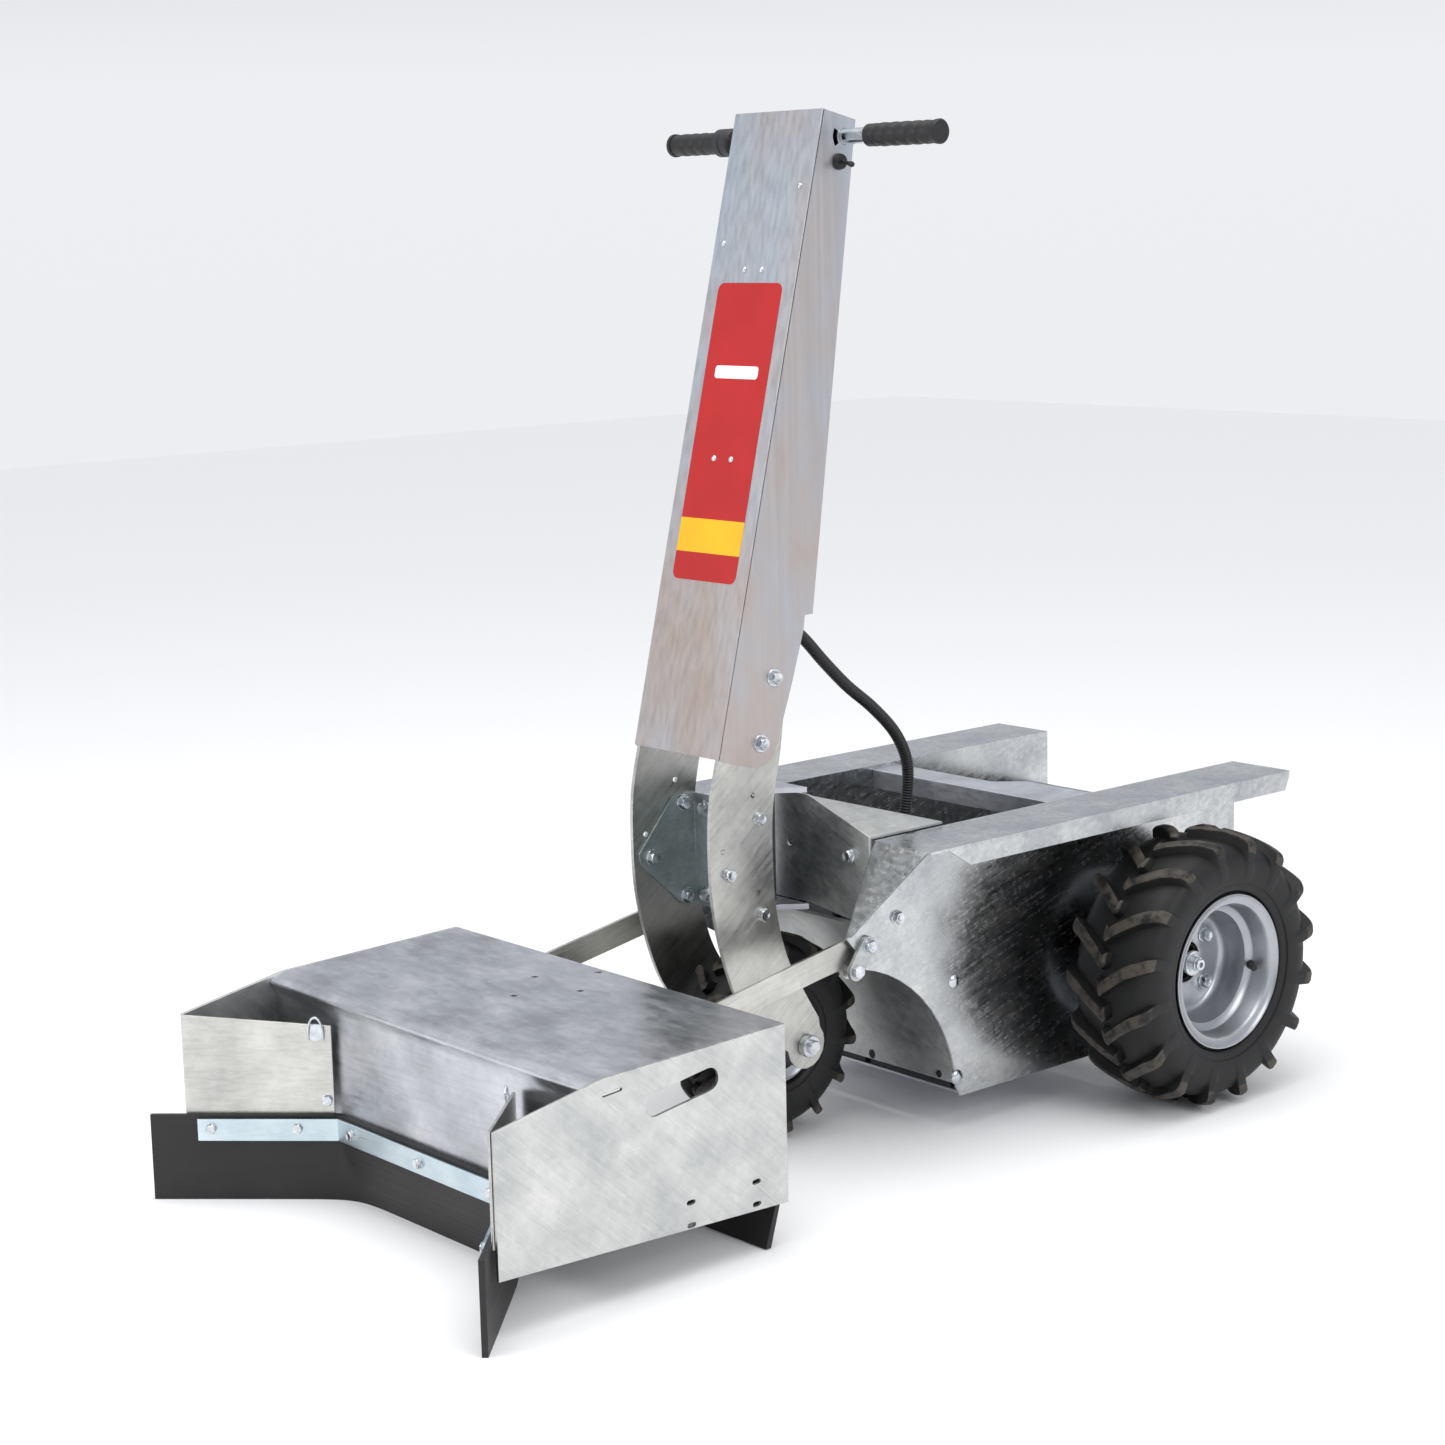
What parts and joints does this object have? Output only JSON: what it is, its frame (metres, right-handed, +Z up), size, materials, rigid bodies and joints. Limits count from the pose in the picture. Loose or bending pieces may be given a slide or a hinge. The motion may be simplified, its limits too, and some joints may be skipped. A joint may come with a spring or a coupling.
{
  "type": "barn scraper machine",
  "caption": "Walk-behind electric barn scraper: galvanised chassis on rubber tyres, steered fork with tall control mast, and a hinged rubber-edged scraper box in front.",
  "frame": {"origin": "on the floor, below the middle of the bounding box", "axes": "-Y is the driving direction with the scraper box in front, +X is the side with the toggle switch, +Z is up"},
  "size_m": [0.812, 1.6099, 1.462],
  "materials": {
    "galvanised_sheet": "hot-dip galvanised, lightly scratched",
    "passivated_sheet": "zinc plated with a faint passivation tint",
    "zinc_plated_steel": "bright zinc plate",
    "scraper_rubber": "matte",
    "tyre_rubber": "matte",
    "silver_paint": "silver paint, satin",
    "black_plastic": "matte",
    "cast_iron": "cast and machined, dull"
  },
  "bodies": {
    "chassis": {"side_plate_right": "galvanised_sheet", "side_plate_left": "galvanised_sheet", "pivot_lug_right": "galvanised_sheet", "pivot_lug_left": "galvanised_sheet", "arm_pivot_bolt_right": "zinc_plated_steel", "arm_pivot_bolt_left": "zinc_plated_steel", "battery_right": "black_plastic", "battery_left": "black_plastic", "front_wall": "galvanised_sheet", "arch_sheet": "galvanised_sheet", "floor_pan": "galvanised_sheet", "rear_wall": "galvanised_sheet", "cross_plate": "galvanised_sheet", "nose_plate_upper": "galvanised_sheet", "nose_plate_lower": "galvanised_sheet", "steering_pin": "zinc_plated_steel", "motor_controller": "cast_iron", "transaxle_housing": "cast_iron", "drive_motor": "cast_iron", "conduit": "black_plastic"},
    "steering": {"fork_arm_right": "galvanised_sheet", "fork_arm_left": "galvanised_sheet", "axle_collar_right": "zinc_plated_steel", "axle_collar_left": "zinc_plated_steel", "steering_bracket": "galvanised_sheet", "steering_head": "cast_iron", "mast_housing": "passivated_sheet", "mast_front_cover": "passivated_sheet", "handlebar": "zinc_plated_steel", "grip_right": "black_plastic", "throttle_housing": "black_plastic", "toggle_switch": "black_plastic", "front_axle": "zinc_plated_steel"},
    "front_wheel": {"front_rim": "silver_paint", "front_tyre": "tyre_rubber"},
    "rear_wheel_right": {"rear_tyre_right": "tyre_rubber", "rear_rim_right": "silver_paint", "drive_hub_right": "cast_iron"},
    "rear_wheel_left": {"rear_tyre_left": "tyre_rubber", "rear_rim_left": "silver_paint", "drive_hub_left": "cast_iron"},
    "scraper": {"box_side_right": "galvanised_sheet", "box_side_left": "galvanised_sheet", "wing_plate_right": "galvanised_sheet", "wing_plate_left": "galvanised_sheet", "rubber_wing_right": "scraper_rubber", "rubber_wing_left": "scraper_rubber", "lift_arm_right": "galvanised_sheet", "lift_arm_left": "galvanised_sheet", "arm_foot_right": "galvanised_sheet", "arm_foot_left": "galvanised_sheet", "box_top_plate": "galvanised_sheet", "rubber_front": "scraper_rubber", "clamp_bar_front": "zinc_plated_steel", "rear_crossbar": "galvanised_sheet", "rubber_rear": "scraper_rubber"},
    "throttle": {"throttle_grip": "black_plastic"},
    "toggle": {"toggle_lever": "black_plastic"}
  },
  "joints": [
    {"name": "steering_turn", "type": "hinge", "parent": "chassis", "child": "steering", "pos_m": [0, -0.034, 0.43], "axis": [0, 0, 1], "range_deg": [-40, 40], "deforming": ["conduit"]},
    {"name": "front_wheel_spin", "type": "hinge", "parent": "steering", "child": "front_wheel", "pos_m": [0, -0.01, 0.15], "axis": [1, 0, 0], "continuous": true},
    {"name": "rear_wheel_right_spin", "type": "hinge", "parent": "chassis", "child": "rear_wheel_right", "pos_m": [0.329, 0.549, 0.208], "axis": [1, 0, 0], "continuous": true},
    {"name": "rear_wheel_left_spin", "type": "hinge", "parent": "chassis", "child": "rear_wheel_left", "pos_m": [-0.329, 0.549, 0.208], "axis": [1, 0, 0], "continuous": true},
    {"name": "scraper_lift", "type": "hinge", "parent": "chassis", "child": "scraper", "pos_m": [0, -0.02, 0.283], "axis": [-1, 0, 0], "range_deg": [0, 18]},
    {"name": "throttle_twist", "type": "hinge", "parent": "steering", "child": "throttle", "pos_m": [-0.22, 0.092, 1.424], "axis": [1, 0, 0], "range_deg": [0, 70], "stiffness_Nm_per_rad": 0.4},
    {"name": "toggle_flip", "type": "hinge", "parent": "steering", "child": "toggle", "pos_m": [0.0985, 0.079, 1.39], "axis": [0, 1, 0], "range_deg": [-12, 12]}
  ]
}
